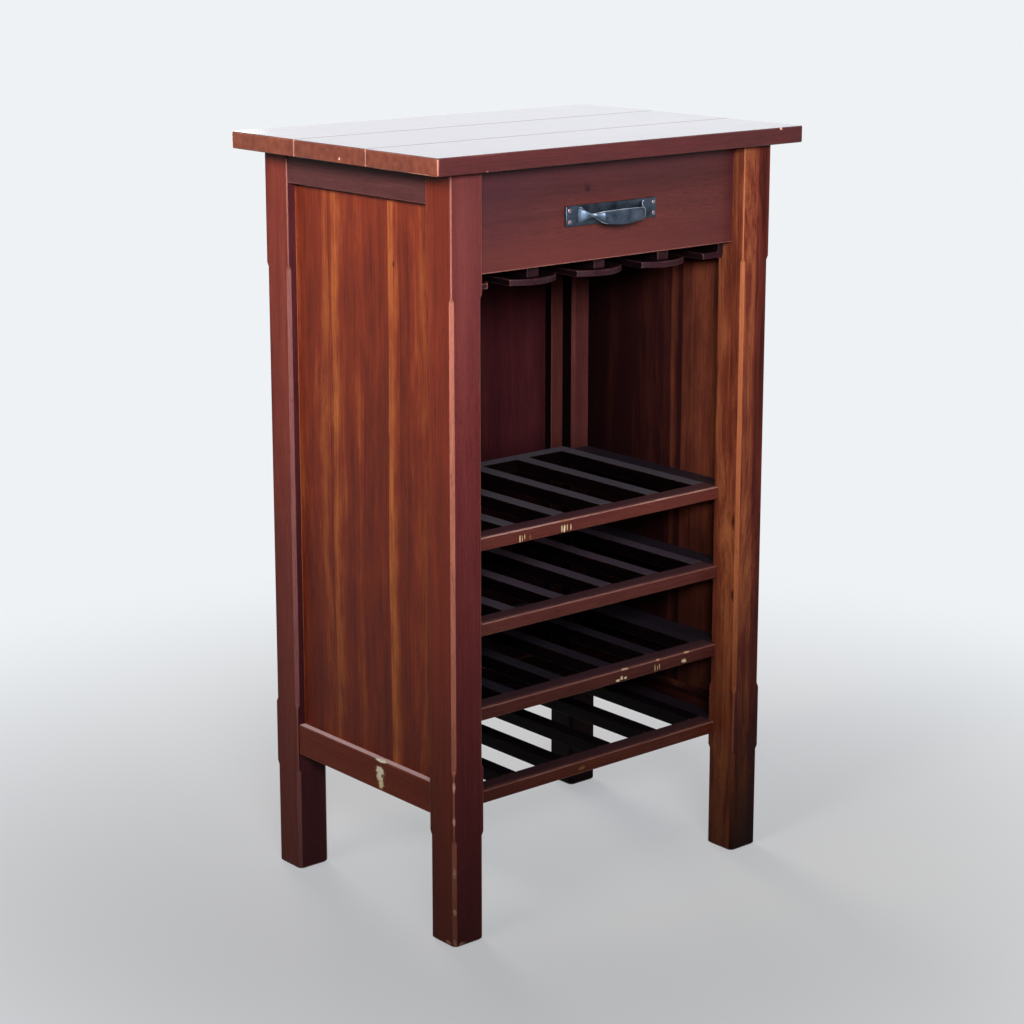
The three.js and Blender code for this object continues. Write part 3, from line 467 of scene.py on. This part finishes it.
# the leg, its wood, the rubbed wood of its chamfers and arrises, the faces that differ (wood, the way
# the face looks, what else differs), and its character. The faces that differ are toned for the light
# on
# their side, as painted light and shade: lighter on the front right leg's inner side, darker on the
# rear left leg's front side, near black on the rear right leg's inner side. The shades are painted
# shade at the feet, at the front left leg's top, and low down on the rear right leg.
LEG_WOODS = {
    "leg_front_left": (("#4c1d14", "#742f20", "#8e442a"), ("#94584a", "#ac6c5a", "#bd7e6a"),
                       ((("#471a1d", "#6b2c2d", "#83403c"), (0, -1), {}),),
                       {"wear": 0.95, "shades": (("Z", 0.0, 0.36, 0.12), ("Z", 0.90, 0.74, 0.3)),
                        "marks": FRONT_LEFT_NICKS_AND_SHEEN}),
    "leg_rear_left": (("#471a15", "#6d2e26", "#87473a"), ("#6c403f", "#805250", "#936664"),
                      ((("#30131a", "#4e2226", "#663536"), (0, -1), {}),), {"wear": 0.75}),
    "leg_front_right": (("#3a1412", "#723226", "#a6603c"), ("#8c4a30", "#a8623e", "#bf7b54"),
                        ((("#3f1611", "#7a3d2a", "#a8643e"), (-1, 0),
                          {"shades": (("Z", 0.0, 0.36, 0.5),)}),),
                        {"wear": 0.85, "figure": 0.95, "sway": 80, "shine": 0.05,
                         "shades": (("Z", 0.0, 0.36, 0.95),), "stripes": FRONT_RIGHT_STRIPES,
                         "marks": FRONT_RIGHT_KNOTS}),
    "leg_rear_right": (("#3a1b18", "#562b26", "#6c3b32"), ("#361a19", "#4d2726", "#603430"),
                       ((("#070303", "#0e0607", "#1a0c0d"), (-1, 0), {"shine": 0.03}),
                        (("#3b1d1b", "#552c2a", "#693a35"), (0, -1),
                         {"shine": 0.03, "shades": (LOW_BAYS,)}),
                        (("#3b1d1b", "#552c2a", "#693a35"), FRONT_LEFT_CORNER,
                         {"shine": 0.03, "shades": (LOW_BAYS,)})), {"wear": 0.3}),
}


def sharp_edges(shape, degrees=40):
    """Outer edges whose two faces turn by more than the given angle."""
    limit = math.radians(degrees)
    return [e for e in shape.edges if e.is_manifold and e.is_convex and e.calc_face_angle() > limit]


for name, (tones, rubbed_tones, odd_faces, character) in LEG_WOODS.items():
    low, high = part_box(name)
    middle = (low + high) / 2
    half = (high.x - low.x) / 2
    leg = bmesh.new()
    block(leg, low, high)
    for level in LEG_LEVELS_MM:
        bmesh.ops.bisect_plane(leg, geom=leg.verts[:] + leg.edges[:] + leg.faces[:],
                               plane_co=(0, 0, level / 1000), plane_no=(0, 0, 1))
    posts = [e for e in leg.edges if abs(e.verts[0].co.z - e.verts[1].co.z) > 1e-4]
    bmesh.ops.bevel(leg, geom=posts, offset=LEG_CHAMFER, offset_type="OFFSET", segments=1,
                    profile=0.5, affect="EDGES", clamp_overlap=False, material=-1)
    for vertex in leg.verts:
        height = vertex.co.z * 1000
        if any(start < height < end for start, end in LEG_SQUARE_MM):
            for axis in (0, 1):
                away = vertex.co[axis] - middle[axis]
                if abs(away) < half - LEG_ARRIS:
                    vertex.co[axis] = middle[axis] + math.copysign(half - LEG_ARRIS, away)
        if height < 0.1:
            vertex.co.x -= math.copysign(FOOT_BEVEL, vertex.co.x - middle.x)
            vertex.co.y -= math.copysign(FOOT_BEVEL, vertex.co.y - middle.y)
    for face in leg.faces:
        face.normal_update()
        height = face.calc_center_median().z * 1000
        slanted = min(abs(face.normal.x), abs(face.normal.y)) > 0.6
        face.material_index = 1 if slanted else 0
        for place, (_, direction, _) in enumerate(odd_faces):
            if face.normal.xy.dot(Vector(direction)) > 0.9:
                face.material_index = 2 + place
    round_edges(leg, sharp_edges(leg, 20), LEG_SOFTENING)
    woods = [stained_mahogany("stained_mahogany_" + name, "Z", tones, worn="#d39a82", **character)]
    rubbed_character = {**character, "figure": 0.5, "wear": 0.7, "stripes": (),
                        "marks": FRONT_LEFT_NICKS_AND_SHEEN if name == "leg_front_left" else ()}
    woods.append(stained_mahogany("rubbed_mahogany_" + name, "Z", rubbed_tones, worn="#d8a490",
                                  **rubbed_character))
    for place, (odd_tones, _, differs) in enumerate(odd_faces):
        woods.append(stained_mahogany(f"mahogany_odd_face_{place}_of_{name}", "Z", odd_tones,
                                      worn="#d39a82", **{**character, **differs}))
    joined(name + "_post", leg, woods, "cabinet", [name])


# Side frames and back. Rails tenoned into the legs hold thin panels in grooves. The panels are glued
# up from upright boards, each with a paler strip of sapwood along one edge. The inner faces are toned
# darker as painted shade; two upright battens cover the back panel's edges.
# painted shade inside, darkest at the rear and low down; the broad second stripe is painted light near
# the front
INSIDE_TONES = ("#200d0e", "#3b1b1a", "#8c4a33")
INSIDE_SHADES = (("Y", 0.120, -0.075, 0.9), ("Z", 0.36, 0.52, 0.6))
INSIDE_STRIPES = (("Y", -0.020, 0.012, 0.2), ("Y", -0.040, 0.2, 0.24))
LEDGE_STARTS = 0.238
BAR_EASE = 0.0003
SIDE_STRIPES = (("Y", 0.0655, 0.020, 0.27), ("Y", -0.0405, 0.022, 0.29),
                ("Y", -0.119, 0.012, 0.18))
# a painted highlight along the rear edge, two joints between boards and a small knot
LEFT_PANEL_MARKS = (((-235.8, 130.4, 520), (3, 0.8, 330), "#a9613d", 0.9),
                    ((-235.8, 66.4, 520), (3, 0.7, 330), "#48190f", 1.0),
                    ((-235.8, -39.4, 520), (3, 0.7, 330), "#4c1c10", 1.0),
                    ((-235.8, -57, 781), (3, 1.8, 4), "#3c140c", 0.8))
# a chip through the stain: its ragged brown rim, the pale bare wood and a dark split
RAIL_CHIP = (((-245.3, -33, 176), (6, 9.5, 6), "#8a5832", 0.6),
             ((-245.3, -34, 164), (6, 6.5, 10), "#8a5832", 0.6),
             ((-245.3, -33, 177), (6, 7.4, 4.6), "#fff3dc", 0.3),
             ((-245.3, -32.5, 169.5), (6, 5.6, 6.4), "#fff0d2", 0.3),
             ((-245.3, -34.5, 161.5), (6, 4.2, 6), "#f9e2b6", 0.3),
             ((-245.3, -36.5, 171), (6, 1.1, 2.0), "#5d351b", 0.3),
             ((-244.6, -34, 190), (4, 9.5, 2.2), "#fff6e2", 0.3))


def merged_copy(node):
    """The node's solid as a bmesh with its doubled corners merged and its flat faces whole."""
    shape = bmesh.new()
    shape.from_mesh(nodes[node].data)
    bmesh.ops.remove_doubles(shape, verts=shape.verts, dist=1e-6)
    bmesh.ops.dissolve_limit(shape, angle_limit=math.radians(1), use_dissolve_boundaries=False,
                             verts=shape.verts, edges=shape.edges)
    for face in shape.faces:
        face.normal_update()
        face.smooth = False
        face.material_index = 0
    return shape


OUTSIDE, LEDGE, INSIDE = range(3)
for side in ("left", "right"):
    # the top rails' darker, greyer tones are partly painted shade under the top's overhang
    for place, tones, wear in (("top", ("#351b1c", "#4e2d2e", "#633e3d"), 0.6),
                               ("bottom", ("#4a1c12", "#74301f", "#8e4630"), 0.8)):
        name = f"side_rail_{place}_{side}"
        rail = merged_copy(name)
        for face in rail.faces:
            if abs(face.calc_center_median().x) <= LEDGE_STARTS:
                face.material_index = INSIDE
            elif face.normal.z > 0.9 and place == "bottom":
                face.material_index = LEDGE
            else:
                face.material_index = OUTSIDE
        round_edges(rail, sharp_edges(rail), BAR_EASE)
        marks = RAIL_CHIP if name == "side_rail_bottom_left" else ()
        # the inner faces take painted shade
        woods = [stained_mahogany("stained_mahogany_" + name, "Y", tones, wear=wear, worn="#d9a287",
                                  marks=marks),
                 stained_mahogany("dusty_mahogany_ledge_" + name, "Y", tones, wear=wear,
                                  worn="#d9a287", dust_and_sheen=("#f3d2d3", 0.95), marks=marks),
                 stained_mahogany("painted_shade_inside_of_" + name, "Y", INSIDE_TONES, wear=0.2,
                                  worn="#3a1a14", shades=INSIDE_SHADES)]
        joined(name + "_bar", rail, woods, "cabinet", [name])
    name = "side_panel_" + side
    panel = merged_copy(name)
    for face in panel.faces:
        outward = face.normal.x * (1 if side == "right" else -1)
        face.material_index = 0 if outward > 0.9 else 1
    outer_wood = stained_mahogany("stained_mahogany_" + name, "Z", ("#3f140e", "#74301f", "#ae6537"),
                                  wear=0.3, figure=0.55, curl=0.28, stripes=SIDE_STRIPES,
                                  marks=LEFT_PANEL_MARKS if side == "left" else ())
    # the inner face is toned darker as painted shade, with painted light in its broad stripe near the
    # front
    inner_wood = stained_mahogany("painted_shade_inside_of_" + name, "Z",
                                  INSIDE_TONES, wear=0.3, figure=0.28, shades=INSIDE_SHADES,
                                  stripes=INSIDE_STRIPES, shine=0.04)
    joined(name + "_board", panel, [outer_wood, inner_wood], "cabinet", [name])

for place in ("top", "bottom"):
    name = "back_rail_" + place
    rail = merged_copy(name)
    for face in rail.faces:
        face.material_index = 1 if face.normal.y < -0.9 else 0
    round_edges(rail, sharp_edges(rail), BAR_EASE)
    # the inner face is near black: painted shade
    woods = [stained_mahogany("stained_mahogany_" + name, "X", ("#321211", "#4d201c", "#652f27")),
             stained_mahogany("painted_shade_inside_of_" + name, "X", ("#0a0405", "#150809", "#241112"),
                              wear=0.1, shine=0.03)]
    joined(name + "_bar", rail, woods, "cabinet", [name])
back = merged_copy("back_panel")
for face in back.faces:
    face.material_index = 1 if face.normal.y > 0.9 else 0
# the inner face is toned darker, and darker still in the low bays: painted shade
back_woods = [stained_mahogany("painted_shade_inside_of_back_panel", "Z",
                               ("#280d11", "#3d181c", "#4f2526"), wear=0.2,
                               shades=(LOW_BAYS,)),
              stained_mahogany("stained_mahogany_back_panel", "Z",
                               ("#3c1712", "#5e2a20", "#7a3d2c"), wear=0.3)]
joined("back_panel_board", back, back_woods, "cabinet", ["back_panel"])
for side in ("left", "right"):
    name = "back_batten_" + side
    batten = merged_copy(name)
    for face in batten.faces:
        face.material_index = 1 if abs(face.normal.x) > 0.9 else 0
    round_edges(batten, sharp_edges(batten), BAR_EASE)
    # darker low down and near black on the sides: painted shade
    wood = stained_mahogany("stained_mahogany_" + name, "Z", ("#3c1d1a", "#542b26", "#693a30"),
                            wear=0.3, shades=(LOW_BAYS,))
    edge_wood = stained_mahogany("painted_shade_edge_of_" + name, "Z",
                                 ("#070303", "#0e0607", "#1a0c0d"), wear=0.1, shine=0.03)
    joined(name + "_strip", batten, [wood, edge_wood], "cabinet", [name])


# Drawer. The front is one flat board with rounded arrises; the box behind it and its runners are
# plain pale wood, sanded and left bare, with a thin bottom let into grooves.
DRAWER_ARRIS = 0.0009
# a knot in two parts, then painted shade along the upper edge under the top, on the left part and
# at the right end beside the leg, and painted light in a redder band low down
DRAWER_MARKS = (((-34.6, -157.5, 859.6), (4.6, 4, 3.0), "#240d10", 0.7),
                ((-37.4, -157.5, 862.4), (2.2, 4, 5.0), "#34171a", 0.8),
                ((-176, -157.5, 868), (70, 4, 52), "#3b1f27", 1.6),
                ((0, -157.5, 897), (260, 4, 30), "#351a21", 1.3),
                ((203, -157.5, 834), (14, 4, 90), "#3c161b", 1.5),
                ((-40, -157.5, 787), (215, 4, 26), "#6c322d", 1.7))
front = merged_copy("drawer_front")
for face in round_edges(front, sharp_edges(front), DRAWER_ARRIS, 3):
    face.normal_update()
    face.material_index = 1 if face.normal.z < -0.2 and face.normal.y < -0.2 else 0
front_wood = stained_mahogany("stained_mahogany_drawer_front", "X", ("#3d1b1c", "#562a28", "#683632"),
                              wear=0.95, worn="#a86752", shine=0.14, marks=DRAWER_MARKS)
front_rub = stained_mahogany("rubbed_mahogany_drawer_arris", "X", ("#a0665e", "#c0857a", "#dba090"),
                             wear=0.6, worn="#c08a7a")
joined("drawer_front_board", front, [front_wood, front_rub], "drawer",
       ["drawer_front"])


def bare_wood(name, along):
    """Rubberwood as sawn and sanded, without stain: straw colour, fine straight streaks, matt."""
    material, tree, shader, place = new_material(name)
    grain = add(tree, "Mapping", {"Vector": place, "Rotation": GRAIN_TURNS[along]}).outputs[0]
    band = between(tree, grain_noise(tree, grain, 700, 24, 2.0), 0.3, 0.7)
    streak = between(tree, grain_noise(tree, grain, 90, 1.8, 3.0, 0.6), 0.3, 0.7)
    tone = sum_of(tree, (band, 0.5), (streak, 0.5))
    tree.links.new(mixed(tree, tone, srgb("#a87c4c"), srgb("#c9a271")),
                   shader.inputs["Base Color"])
    tree.links.new(between(tree, streak, 0, 1, 0.62, 0.75), shader.inputs["Roughness"])
    bump = add(tree, "Bump", {"Height": streak, "Strength": 0.3, "Distance": 0.0002})
    tree.links.new(bump.outputs[0], shader.inputs["Normal"])
    return material


def dress(name, material):
    """Gives a solid its wood and leaves its shape alone."""
    mesh = nodes[name].data
    mesh.materials.clear()
    mesh.materials.append(material)


for name, along in (("drawer_side_left", "Y"), ("drawer_side_right", "Y"), ("drawer_back", "X"),
                    ("drawer_bottom", "X"), ("drawer_runner_left", "Y"),
                    ("drawer_runner_right", "Y")):
    dress(name, bare_wood("bare_rubberwood_" + name, along))


# Pull. One iron casting, blackened with a blue-grey bloom: a flat plate and a bow that rises from it,
# narrows to a neck on each side and broadens into a grip shaped like a long leaf. Its pale edges are
# painted highlights, and the plate's near-black rim is painted shade.
PULL_STATIONS_MM = (
    # from the middle, stand-off, rise, drop, thickness
    (53.5, 2.8, 10.5, 10.5, 1.5), (50.5, 4.0, 10.4, 10.4, 3.0), (47.0, 6.0, 9.0, 9.2, 4.2),
    (44.0, 9.4, 6.0, 6.4, 4.8), (41.5, 13.0, 3.6, 3.8, 5.0), (39.5, 16.2, 2.6, 2.7, 5.0),
    (37.5, 18.8, 2.5, 2.8, 5.0), (35.5, 21.6, 3.4, 4.6, 5.0), (32.4, 25.4, 5.0, 8.0, 5.2),
    (31.0, 26.6, 5.3, 8.8, 5.2), (30.2, 26.8, 5.33, 8.95, 5.2), (26.0, 27.4, 5.5, 9.8, 5.4),
    (16.0, 28.5, 5.9, 11.3, 5.6), (8.0, 29.1, 6.1, 12.0, 5.7), (0.0, 29.3, 6.2, 12.2, 5.8),
)
# share of the rise or drop, share of the thickness in front of the section's middle
PULL_SECTION = ((1.0, 0.0), (0.9, 0.28), (0.5, 0.46), (0.0, 0.5), (-0.5, 0.46), (-0.9, 0.28),
                (-1.0, 0.0), (-0.9, -0.28), (-0.5, -0.46), (0.5, -0.46), (0.9, -0.28))
PLATE_HEIGHT = 0.0235
PLATE_THICKNESS = 0.0035
PLATE_EASE = 0.0008
pull_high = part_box("drawer_pull")[1]
pull_middle = Vector((0, pull_high.y, pull_high.z - PLATE_HEIGHT / 2))


def pull_ring(shape, along, stand_off, rise, drop, thickness):
    """One cross-section of the bow, as a closed ring of corners."""
    ring = []
    for share, front in PULL_SECTION:
        height = share * (rise if share > 0 else drop)
        out = stand_off - thickness / 2 + front * thickness
        ring.append(shape.verts.new(pull_middle + Vector((along, -out, height)) / 1000))
    return ring


def stick(shape, low, high, ease, material_index=0):
    """Adds a block with eased arrises to a bmesh."""
    corners = block(shape, low, high)
    for face in {f for corner in corners for f in corner.link_faces}:
        face.material_index = material_index
    round_edges(shape, list({e for corner in corners for e in corner.link_edges}), ease)


PLATE, BOW, PAINTED_HIGHLIGHT_IRON, PAINTED_SHADE_EDGE = range(4)
stations = [(-x, *rest) for x, *rest in PULL_STATIONS_MM]
stations += [(x, *rest) for x, *rest in reversed(PULL_STATIONS_MM[:-1])]
pull = bmesh.new()
rings = [pull_ring(pull, *station) for station in stations]
for ring in rings:
    for corner, following in zip(ring, ring[1:] + ring[:1]):
        pull.edges.new((corner, following))
for ring, following in zip(rings, rings[1:]):
    loops = [e for e in pull.edges if (e.verts[0] in ring and e.verts[1] in ring)
             or (e.verts[0] in following and e.verts[1] in following)]
    bmesh.ops.bridge_loops(pull, edges=loops)
bmesh.ops.recalc_face_normals(pull, faces=pull.faces)
# painted highlight along the upper arris, at the grip's right end and under its left tip
for face in pull.faces:
    face.smooth = True
    face.normal_update()
    upper_arris = face.normal.z > 0.45 and face.normal.y < -0.1
    across = face.calc_center_median().x
    leaf_end = 0.0302 < across < 0.031 and face.normal.y < -0.5
    leaf_tip = -0.040 < across < -0.026 and face.normal.z < -0.45 and face.normal.y < -0.1
    face.material_index = PAINTED_HIGHLIGHT_IRON if upper_arris or leaf_end or leaf_tip else BOW
for ring in (rings[0], rings[-1]):
    bmesh.ops.contextual_create(pull, geom=ring)
bmesh.ops.recalc_face_normals(pull, faces=pull.faces)
plate_reach = Vector((pull_high.x, 0, PLATE_HEIGHT / 2))
plate_front = Vector((0, PLATE_THICKNESS, 0))
stick(pull, pull_middle - plate_reach - plate_front, pull_middle + plate_reach,
      PLATE_EASE, PLATE)
# the plate's left arris takes the paler bow iron as a painted highlight; its rim is near black, painted
# shade
for face in [f for f in pull.faces if f.material_index == PLATE]:
    face.normal_update()
    if face.normal.x < -0.3 and face.normal.y < -0.7:
        face.material_index = BOW
    elif face.normal.y > -0.6:
        face.material_index = PAINTED_SHADE_EDGE


def blackened_iron(name, dark, light, metallic=0.85):
    """Cast iron, blackened and waxed: dark blue-grey and slightly lumpy from the sand mould."""
    material, tree, shader, place = new_material(name)
    cloud = grain_noise(tree, place, 14, 14, 3.0, 0.6)
    # the mould's sand is finer than half a millimetre; it is drawn coarser so that it shows
    sand = grain_noise(tree, place, 1.1, 1.1, 2.0)
    tree.links.new(mixed(tree, between(tree, cloud, 0.35, 0.65), srgb(dark), srgb(light)),
                   shader.inputs["Base Color"])
    shader.inputs["Metallic"].default_value = metallic
    tree.links.new(between(tree, sum_of(tree, (cloud, 0.6), (sand, 0.4)), 0.3, 0.7, 0.3, 0.5),
                   shader.inputs["Roughness"])
    relief = sum_of(tree, (cloud, 1.0), (sand, 0.25))
    bump = add(tree, "Bump", {"Height": relief, "Strength": 0.6, "Distance": 0.0006})
    tree.links.new(bump.outputs[0], shader.inputs["Normal"])
    return material


joined("pull_casting", pull, [blackened_iron("blackened_cast_iron_plate", "#272e37", "#434d5a"),
                              blackened_iron("blackened_cast_iron_bow", "#2f3844", "#505d6c"),
                              blackened_iron("painted_highlight_cast_iron", "#8f9cab", "#cfdae6", metallic=0.4),
                              blackened_iron("painted_shade_cast_iron_edge", "#14181d", "#232931",
                                             metallic=0.2)],
       "drawer", ["drawer_pull"])


def worn_copper(name):
    """Copper-washed steel, the wash dulled to a pinkish brown."""
    material, tree, shader, place = new_material(name)
    cloud = between(tree, grain_noise(tree, place, 2.2, 2.2, 3.0), 0.35, 0.65)
    tree.links.new(mixed(tree, cloud, srgb("#5d5053"), srgb("#9a8c90")), shader.inputs["Base Color"])
    shader.inputs["Metallic"].default_value = 0.8
    tree.links.new(between(tree, cloud, 0, 1, 0.62, 0.48), shader.inputs["Roughness"])
    return material


SCREW_RECESS = 0.0009
SCREW_DOME = 0.0015
SCREW_SHANK = 0.5
screw_finish = worn_copper("worn_copper_wash")
for number in range(1, 5):
    name = f"pull_screw_{number}"
    head_low, head_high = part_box(name)
    centre = (head_low + head_high) / 2
    head = bmesh.new()
    radius = (head_high.x - head_low.x) / 2
    seat = head_low.y + SCREW_DOME
    # from the dimple over the dome and under the head to the shank's end, as distance out and place
    outline = [(0, head_low.y + SCREW_RECESS)]
    for angle in [step / 5 * math.pi / 2 for step in range(2, 6)]:
        outline.append((radius * math.sin(angle), seat - SCREW_DOME * math.cos(angle)))
    outline += [(radius * SCREW_SHANK, seat), (radius * SCREW_SHANK, head_high.y), (0, head_high.y)]
    profile = [head.verts.new((centre.x + out, along, centre.z)) for out, along in outline]
    for first, second in zip(profile, profile[1:]):
        head.edges.new((first, second))
    bmesh.ops.spin(head, geom=head.verts[:] + head.edges[:], cent=centre, axis=(0, 1, 0),
                   angle=2 * math.pi, steps=24, use_merge=True)
    bmesh.ops.remove_doubles(head, verts=head.verts, dist=1e-6)
    bmesh.ops.recalc_face_normals(head, faces=head.faces)
    for face in head.faces:
        face.smooth = True
    joined(name + "_head", head, [screw_finish], "drawer", [name])


# Stemware rack. Dark T-section rails of the same stock hang under two bearers, the outer two halved
# against the side frames; their bowed noses stand proud of the shelves.
RACK_TONES = ("#170b10", "#2d181e", "#42272d")
for number in range(1, 6):
    name = f"stem_rail_{number}"
    rail = merged_copy(name)
    for face in rail.faces:
        face.material_index = 1 if face.normal.z > 0.9 or abs(face.normal.x) > 0.95 else 0
    round_edges(rail, sharp_edges(rail), BAR_EASE)
    # the upper faces and ends are near black: painted shade under the drawer
    wood = stained_mahogany("stained_mahogany_" + name, "Y", RACK_TONES, wear=0.75, worn="#9a6a62")
    painted_shade_upper_wood = stained_mahogany("painted_shade_upper_" + name, "Y", ("#0a0507", "#140a0e", "#22141a"),
                                  wear=0.2, shine=0.03)
    joined(name + "_bar", rail, [wood, painted_shade_upper_wood], "cabinet", [name])
for end in ("front", "rear"):
    dress("rack_bearer_" + end,
          stained_mahogany("stained_mahogany_bearer_" + end, "X", RACK_TONES, wear=0.2))


# Shelves. A thin strip faces each front rail; six slats run back from it to a rear rail, all flush.
# Cleats fill the pockets beside them. The strips' upper arrises are rubbed bare where bottles slide
# in, bottles have chipped some faces, and dust lies on the upper faces. Slats and cleats are near
# black as painted shade; the grey on the slat tops is dust and painted sheen, darker on lower shelves.
STRIP_TONES = {1: ("#38160f", "#5e2b20", "#7c4430"), 2: ("#381612", "#5b2d27", "#754036"),
               3: ("#3d1819", "#61312c", "#7b4439"), 4: ("#3f1817", "#68322c", "#7f4538")}
# near black: painted shade on the slats and cleats
SLAT_TONES = ("#040202", "#090405", "#13090b")
# dust and painted sheen on the slat tops, darker on the lower shelves as painted shade
SLAT_DUST_AND_SHEEN = {4: ("#605b61", 0.8), 3: ("#5c4e59", 0.8), 2: ("#352f38", 0.8), 1: ("#1c161c", 0.5)}
FRONT_DUST = ("#45343b", 0.7)
CLEAT_DUST = ("#3f3740", 0.45)
RUBBED_ARRIS = ("#704540", "#a97a70", "#eecabe")
STRIP_ARRIS = 0.0007
STRIP_FRONT_MM = -140.5
SLATS = 6
SLAT_WIDTH = 0.020
SLAT_EASE = 0.0008
REAR_RAIL_WIDTH = 0.020
JOINT_GAP = 0.0002
STRIP_MARKS = {
    # middle across and up, half width and half height, all in mm, and colour
    4: ((-120.5, 460, 0.9, 4.6, "#e9cf9f"), (-117, 459.5, 0.7, 3.8, "#d9b47c"),
        (-113.3, 461, 0.7, 3.4, "#e2c08c"), (-105, 459, 0.5, 3, "#a9764c"),
        (-56, 461, 1.0, 4.2, "#e9cf9f"), (-52, 460, 1.3, 4.4, "#f0d9aa"),
        (-47.5, 461, 0.9, 3.6, "#dfbb84"), (-42, 460.5, 0.8, 3.8, "#e9cf9f"),
        (-51, 470, 7, 1.0, "#a4704a")),
    2: ((36, 255, 3.2, 1.5, "#f0d9aa"), (42, 257, 2.0, 2.6, "#e9cf9f"),
        (48, 256, 2.4, 1.4, "#f0d9aa"), (97.5, 258, 0.7, 3.6, "#e2c08c"),
        (101.8, 257.5, 0.7, 3.0, "#d3a773"), (105, 258, 0.7, 3.4, "#e2c08c"),
        (147, 257, 4.4, 2.2, "#e9cf9f"), (47, 267, 6, 1.1, "#e0b08a"),
        (103, 267, 3, 1.0, "#d8a47c"), (152, 267, 5, 1.1, "#e0b08a")),
    1: ((-22, 157, 5, 2.0, "#80602f"), (7, 150.6, 4, 1.5, "#80602f")),
}
for number in range(1, 5):
    chips = [((across, STRIP_FRONT_MM, up), (wide, 3.0, tall), hex_colour, 0.35)
             for across, up, wide, tall, hex_colour in STRIP_MARKS.get(number, ())]
    for part, radius, wear, marks in (("front_strip", STRIP_ARRIS, 0.9, chips),
                                      ("front_rail", BAR_EASE, 0.3, ())):
        name = f"shelf_{number}_{part}"
        bar = merged_copy(name)
        for face in round_edges(bar, sharp_edges(bar), radius, 3):
            face.normal_update()
            if part == "front_strip" and face.normal.y < -0.25 and face.normal.z > 0.25:
                face.material_index = 1
        wood = stained_mahogany("stained_mahogany_" + name, "X", STRIP_TONES[number], wear=wear,
                                worn="#cf8d66", dust_and_sheen=FRONT_DUST, marks=marks)
        rubbed = stained_mahogany("rubbed_mahogany_arris_of_" + name, "X", RUBBED_ARRIS, wear=0.85,
                                  worn="#7a4640", figure=0.9, marks=marks)
        # a front rail goes without the rubbed wood, but that wood still counts in the grain's order
        woods = [wood, rubbed] if part == "front_strip" else [wood]
        joined(name + "_bar", bar, woods, "cabinet", [name])
    name = f"shelf_{number}_slats"
    low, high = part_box(name)
    woods = [stained_mahogany(finish + name, along, SLAT_TONES, wear=0.4, worn="#4a3c3e", shine=0.03,
                              dust_and_sheen=SLAT_DUST_AND_SHEEN[number])
             for finish, along in (("stained_mahogany_", "Y"), ("stained_mahogany_rear_", "X"))]
    comb = bmesh.new()
    slats_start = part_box(f"shelf_{number}_front_rail")[1].y + JOINT_GAP
    slats_end = high.y - REAR_RAIL_WIDTH
    pitch = (high.x - low.x - SLAT_WIDTH) / (SLATS - 1)
    for i in range(SLATS):
        left = low.x + i * pitch
        stick(comb, (left, slats_start, low.z), (left + SLAT_WIDTH, slats_end, high.z), SLAT_EASE)
    stick(comb, (low.x, slats_end, low.z), high, SLAT_EASE, 1)
    joined(name + "_grid", comb, woods, "cabinet", [name])
    for side in ("left", "right"):
        dress(f"shelf_{number}_cleat_{side}",
              stained_mahogany(f"stained_mahogany_cleat_{number}_{side}", "Y", SLAT_TONES, wear=0.2,
                               dust_and_sheen=CLEAT_DUST))
